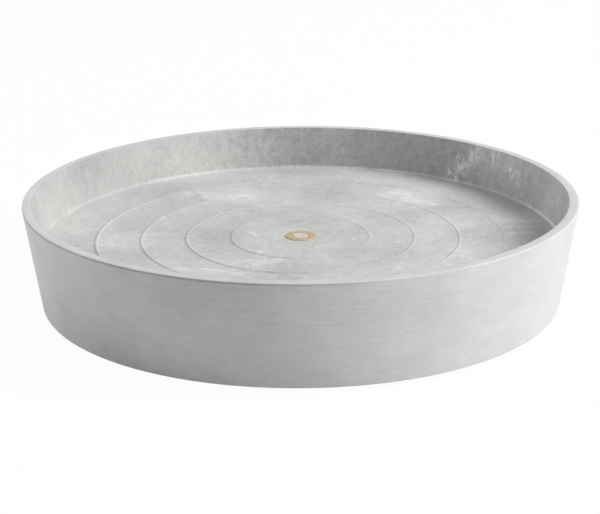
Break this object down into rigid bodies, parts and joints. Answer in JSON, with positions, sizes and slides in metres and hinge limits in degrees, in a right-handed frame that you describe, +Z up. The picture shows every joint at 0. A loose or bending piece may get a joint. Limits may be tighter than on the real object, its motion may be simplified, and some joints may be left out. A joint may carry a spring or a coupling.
{
  "type": "plant saucer",
  "caption": "Round shallow plant saucer with a ridged floor, a drain plug in a rubber grommet, and swivel castors hidden inside its hollow skirt.",
  "frame": {"origin": "on the ground under the middle of the dish", "axes": "+Z up; castors on +X, +Y, -X and -Y; the picture looks along +Y from -Y and above"},
  "size_m": [0.45, 0.45, 0.088],
  "materials": {
    "stone_composite": "matte pale grey stone-look composite, cloudy with fine streaks and white scuffs",
    "tan_rubber": "matte tan rubber",
    "zinc_steel": "zinc-plated pressed steel",
    "black_nylon": "moulded black nylon",
    "tyre_rubber": "dark grey rubber tread"
  },
  "bodies": {
    "saucer": {"saucer_shell": "stone_composite", "drain_grommet": "tan_rubber", "castor_1_plate": "zinc_steel", "castor_1_race": "zinc_steel", "castor_1_kingpin": "zinc_steel", "castor_1_screw_1": "zinc_steel", "castor_1_screw_2": "zinc_steel", "castor_1_screw_3": "zinc_steel", "castor_1_screw_4": "zinc_steel", "castor_2_plate": "zinc_steel", "castor_2_race": "zinc_steel", "castor_2_kingpin": "zinc_steel", "castor_2_screw_1": "zinc_steel", "castor_2_screw_2": "zinc_steel", "castor_2_screw_3": "zinc_steel", "castor_2_screw_4": "zinc_steel", "castor_3_plate": "zinc_steel", "castor_3_race": "zinc_steel", "castor_3_kingpin": "zinc_steel", "castor_3_screw_1": "zinc_steel", "castor_3_screw_2": "zinc_steel", "castor_3_screw_3": "zinc_steel", "castor_3_screw_4": "zinc_steel", "castor_4_plate": "zinc_steel", "castor_4_race": "zinc_steel", "castor_4_kingpin": "zinc_steel", "castor_4_screw_1": "zinc_steel", "castor_4_screw_2": "zinc_steel", "castor_4_screw_3": "zinc_steel", "castor_4_screw_4": "zinc_steel"},
    "plug": {"drain_plug": "stone_composite"},
    "castor_1_swivel_fork": {"castor_1_fork": "zinc_steel", "castor_1_axle": "zinc_steel"},
    "castor_1_wheel": {"castor_1_wheel_hub": "black_nylon", "castor_1_tyre": "tyre_rubber"},
    "castor_2_swivel_fork": {"castor_2_fork": "zinc_steel", "castor_2_axle": "zinc_steel"},
    "castor_2_wheel": {"castor_2_wheel_hub": "black_nylon", "castor_2_tyre": "tyre_rubber"},
    "castor_3_swivel_fork": {"castor_3_fork": "zinc_steel", "castor_3_axle": "zinc_steel"},
    "castor_3_wheel": {"castor_3_wheel_hub": "black_nylon", "castor_3_tyre": "tyre_rubber"},
    "castor_4_swivel_fork": {"castor_4_fork": "zinc_steel", "castor_4_axle": "zinc_steel"},
    "castor_4_wheel": {"castor_4_wheel_hub": "black_nylon", "castor_4_tyre": "tyre_rubber"}
  },
  "joints": [
    {"name": "plug_pull", "type": "slide", "parent": "saucer", "child": "plug", "axis": [0, 0, 1], "range_m": [0, 0.06]},
    {"name": "castor_1_swivel", "type": "hinge", "parent": "saucer", "child": "castor_1_swivel_fork", "pos_m": [0.15582, 0, 0.0343], "axis": [0, 0, 1], "continuous": true},
    {"name": "castor_1_roll", "type": "hinge", "parent": "castor_1_swivel_fork", "child": "castor_1_wheel", "pos_m": [0.14382, 0, 0.015], "axis": [0, -1, 0], "continuous": true},
    {"name": "castor_2_swivel", "type": "hinge", "parent": "saucer", "child": "castor_2_swivel_fork", "pos_m": [0, 0.15582, 0.0343], "axis": [0, 0, 1], "continuous": true},
    {"name": "castor_2_roll", "type": "hinge", "parent": "castor_2_swivel_fork", "child": "castor_2_wheel", "pos_m": [0, 0.14382, 0.015], "axis": [1, 0, 0], "continuous": true},
    {"name": "castor_3_swivel", "type": "hinge", "parent": "saucer", "child": "castor_3_swivel_fork", "pos_m": [-0.15582, 0, 0.0343], "axis": [0, 0, 1], "continuous": true},
    {"name": "castor_3_roll", "type": "hinge", "parent": "castor_3_swivel_fork", "child": "castor_3_wheel", "pos_m": [-0.14382, 0, 0.015], "axis": [0, 1, 0], "continuous": true},
    {"name": "castor_4_swivel", "type": "hinge", "parent": "saucer", "child": "castor_4_swivel_fork", "pos_m": [0, -0.15582, 0.0343], "axis": [0, 0, 1], "continuous": true},
    {"name": "castor_4_roll", "type": "hinge", "parent": "castor_4_swivel_fork", "child": "castor_4_wheel", "pos_m": [0, -0.14382, 0.015], "axis": [-1, 0, 0], "continuous": true}
  ]
}
